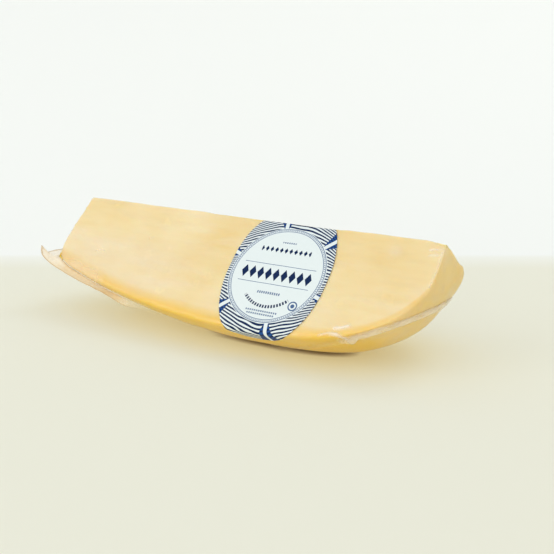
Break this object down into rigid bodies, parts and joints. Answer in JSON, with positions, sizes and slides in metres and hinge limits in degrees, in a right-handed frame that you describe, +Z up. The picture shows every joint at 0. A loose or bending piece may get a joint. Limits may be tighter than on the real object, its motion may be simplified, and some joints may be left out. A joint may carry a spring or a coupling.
{
  "type": "vacuum-packed provolone wedge",
  "caption": "Lengthwise quarter of a barrel-shaped cheese, vacuum-packed in clear film with a weld seam and an oval paper label over the ridge.",
  "frame": {"origin": "middle of the bounding box, at the height of the flat spot on the rind that the wedge rests on", "axes": "+X along the ridge from the cut end to the nose, +Z up, -Y out of the front cut face, which carries most of the label"},
  "size_m": [0.2858, 0.1008, 0.0748],
  "materials": {
    "cheese_in_film": "pale yellow provolone under skin-tight clear glossy film",
    "label_paper": "smooth off-white label paper printed in blue",
    "seam_film": "clear doubled film, whitish where it is welded"
  },
  "bodies": {
    "root": {"wrapped_wedge": "cheese_in_film", "label": "label_paper", "film_seam": "seam_film"}
  },
  "joints": []
}
